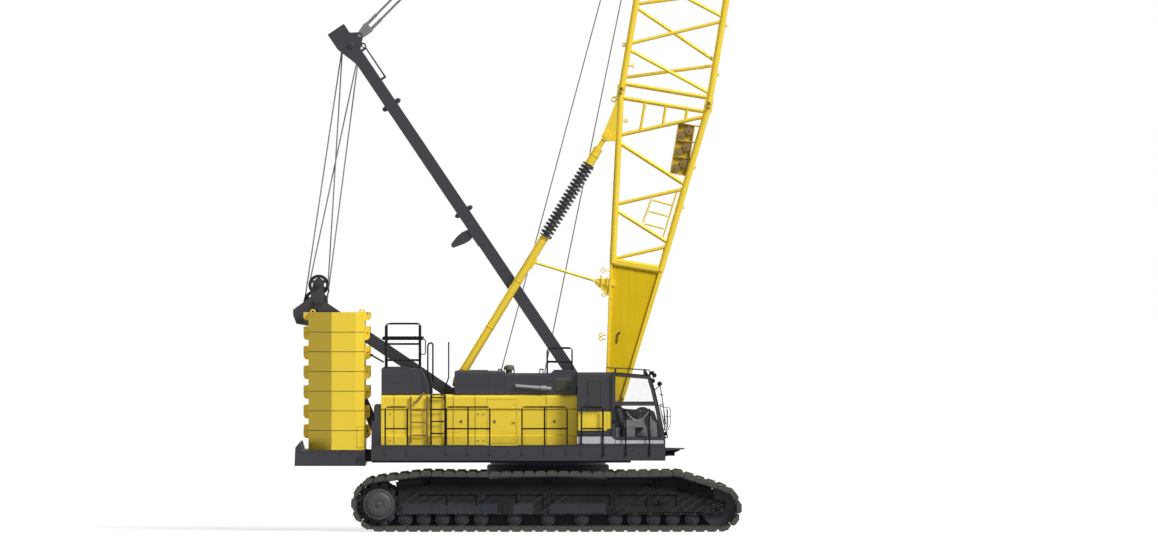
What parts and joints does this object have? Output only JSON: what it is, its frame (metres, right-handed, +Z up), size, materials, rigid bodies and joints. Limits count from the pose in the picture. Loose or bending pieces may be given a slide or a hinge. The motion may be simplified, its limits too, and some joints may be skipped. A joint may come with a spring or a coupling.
{
  "type": "crawler crane",
  "caption": "Lattice-boom crawler crane with its boom raised: tracked undercarriage, slewing upper with cab and house, gantry, mast, stacked counterweight and hook block.",
  "frame": {"origin": "on the ground under the slewing axis", "axes": "+Z up, +X to the front of the machine, +Y to its left"},
  "size_m": [11.8346, 7.62, 21.0592],
  "materials": {
    "yellow_paint": "semi-gloss",
    "black_paint": "satin",
    "grey_paint": "satin",
    "dark_steel": "worn",
    "track_steel": "worn",
    "rope": "dull",
    "glass": "clear",
    "seat": "matt",
    "console": "matt",
    "engine_iron": "painted"
  },
  "bodies": {
    "undercarriage": {"carbody": "black_paint", "slew_ring": "dark_steel", "track_frame_right": "grey_paint", "track_frame_left": "grey_paint", "track_right": "track_steel", "track_left": "track_steel", "track_rollers": "dark_steel", "drive_tumblers": "dark_steel", "idlers": "dark_steel", "final_drives": "dark_steel"},
    "mast": {"mast_frame": "black_paint"},
    "mast_sheaves": {"mast_sheaves": "dark_steel"},
    "pendants": {"pendants": "black_paint"},
    "lower_falls": {"lower_falls": "rope"},
    "upper_falls": {"upper_falls": "rope"},
    "boom": {"boom_base": "yellow_paint", "boom_insert": "yellow_paint", "boom_tip": "yellow_paint", "backstop_struts": "yellow_paint", "backstop_springs": "black_paint"},
    "tip_sheaves": {"tip_sheaves": "dark_steel"},
    "back_sheaves": {"back_sheaves": "dark_steel"},
    "main_rope": {"hoist_rope_main": "rope"},
    "aux_rope": {"hoist_rope_aux": "rope"},
    "hook": {"hook_falls": "rope", "hook_block": "black_paint"},
    "gantry_sheaves_lower": {"gantry_sheaves_lower": "dark_steel"},
    "gantry_sheaves_upper": {"gantry_sheaves_upper": "dark_steel"},
    "main_drum": {"main_drum": "dark_steel"},
    "aux_drum": {"aux_drum": "dark_steel"},
    "boom_hoist_drum": {"boom_hoist_drum": "dark_steel"},
    "cab_door": {"cab_door": "black_paint", "cab_door_glass": "glass"},
    "house_door_right": {"house_door_right": "yellow_paint"},
    "house_door_left": {"house_door_left": "yellow_paint"},
    "upper": {"revolving_frame": "black_paint", "side_decks": "black_paint", "foot_brackets": "black_paint", "house_right": "yellow_paint", "house_left": "yellow_paint", "hoods": "black_paint", "engine": "engine_iron", "guard_rails": "black_paint", "house_ladder": "yellow_paint", "deck_ladder": "black_paint", "cab_shell": "black_paint", "cab_glass": "glass", "cab_console": "console", "cab_seat": "seat", "cabinet": "black_paint", "cabinet_panels": "yellow_paint", "winch_frame": "black_paint", "counterweight_tray": "black_paint", "counterweights": "yellow_paint", "gantry": "black_paint"}
  },
  "joints": [
    {"name": "slew", "type": "hinge", "parent": "undercarriage", "child": "upper", "pos_m": [0, 0, 1.56], "axis": [0, 0, 1], "continuous": true},
    {"name": "boom_luff", "type": "hinge", "parent": "upper", "child": "boom", "pos_m": [1.56, 0, 2.89], "axis": [0, 1, 0], "range_deg": [0, 50]},
    {"name": "mast_swing", "type": "hinge", "parent": "upper", "child": "mast", "pos_m": [0.799, 0, 3.461], "axis": [0, 1, 0], "range_deg": [-0.5, 54.58]},
    {"name": "pendant_swing", "type": "hinge", "parent": "mast", "child": "pendants", "pos_m": [-4.54946, 0, 11.95508], "axis": [0, 1, 0], "range_deg": [-7.49, 0.5]},
    {"name": "lower_falls_swing", "type": "hinge", "parent": "upper", "child": "lower_falls", "pos_m": [-5.619, 0, 5.51], "axis": [0, 1, 0], "range_deg": [-0.5, 46.06]},
    {"name": "upper_falls_swing", "type": "hinge", "parent": "mast", "child": "upper_falls", "pos_m": [-4.75777, 0, 11.71478], "axis": [0, 1, 0], "range_deg": [-7.48, 0.5]},
    {"name": "main_rope_swing", "type": "hinge", "parent": "upper", "child": "main_rope", "pos_m": [0.033, 0, 2.624], "axis": [0, 1, 0], "range_deg": [-0.5, 46]},
    {"name": "aux_rope_swing", "type": "hinge", "parent": "upper", "child": "aux_rope", "pos_m": [-1.106, 0, 2.603], "axis": [0, 1, 0], "range_deg": [-0.5, 45.5]},
    {"name": "hook_swing", "type": "hinge", "parent": "boom", "child": "hook", "pos_m": [5.34464, 0, 20.65905], "axis": [0, 1, 0], "range_deg": [-50.5, 0.5]},
    {"name": "tip_sheaves_spin", "type": "hinge", "parent": "boom", "child": "tip_sheaves", "pos_m": [5.34464, 0, 20.65905], "axis": [0, 1, 0], "continuous": true},
    {"name": "back_sheaves_spin", "type": "hinge", "parent": "boom", "child": "back_sheaves", "pos_m": [3.66615, 0, 20.68645], "axis": [0, 1, 0], "continuous": true},
    {"name": "mast_sheaves_spin", "type": "hinge", "parent": "mast", "child": "mast_sheaves", "pos_m": [-4.75777, 0, 11.71478], "axis": [0, 1, 0], "continuous": true},
    {"name": "gantry_lower_sheaves_spin", "type": "hinge", "parent": "upper", "child": "gantry_sheaves_lower", "pos_m": [-5.619, 0, 5.51], "axis": [0, 1, 0], "continuous": true},
    {"name": "gantry_upper_sheaves_spin", "type": "hinge", "parent": "upper", "child": "gantry_sheaves_upper", "pos_m": [-5.547, 0, 5.929], "axis": [0, 1, 0], "continuous": true},
    {"name": "main_drum_spin", "type": "hinge", "parent": "upper", "child": "main_drum", "pos_m": [0.033, 0, 2.624], "axis": [0, 1, 0], "continuous": true},
    {"name": "aux_drum_spin", "type": "hinge", "parent": "upper", "child": "aux_drum", "pos_m": [-1.106, 0, 2.603], "axis": [0, 1, 0], "continuous": true},
    {"name": "boom_hoist_drum_spin", "type": "hinge", "parent": "upper", "child": "boom_hoist_drum", "pos_m": [-2.96, 0, 2.64], "axis": [0, 1, 0], "continuous": true},
    {"name": "cab_door_slide", "type": "slide", "parent": "upper", "child": "cab_door", "axis": [-1, 0, 0], "range_m": [0, 0.78]},
    {"name": "house_door_right_swing", "type": "hinge", "parent": "upper", "child": "house_door_right", "pos_m": [-0.757, -2.152, 2.645], "axis": [0, 0, 1], "range_deg": [0, 90]},
    {"name": "house_door_left_swing", "type": "hinge", "parent": "upper", "child": "house_door_left", "pos_m": [-0.757, 2.152, 2.645], "axis": [0, 0, -1], "range_deg": [0, 90]}
  ],
  "couplings": [
    {"joint": "mast_swing", "follows": "boom_luff", "ratio": 1.0817},
    {"joint": "pendant_swing", "follows": "boom_luff", "ratio": -0.13985},
    {"joint": "lower_falls_swing", "follows": "boom_luff", "ratio": 0.91124},
    {"joint": "upper_falls_swing", "follows": "boom_luff", "ratio": -0.13957},
    {"joint": "main_rope_swing", "follows": "boom_luff", "ratio": 0.91},
    {"joint": "aux_rope_swing", "follows": "boom_luff", "ratio": 0.9},
    {"joint": "hook_swing", "follows": "boom_luff", "ratio": -1}
  ]
}
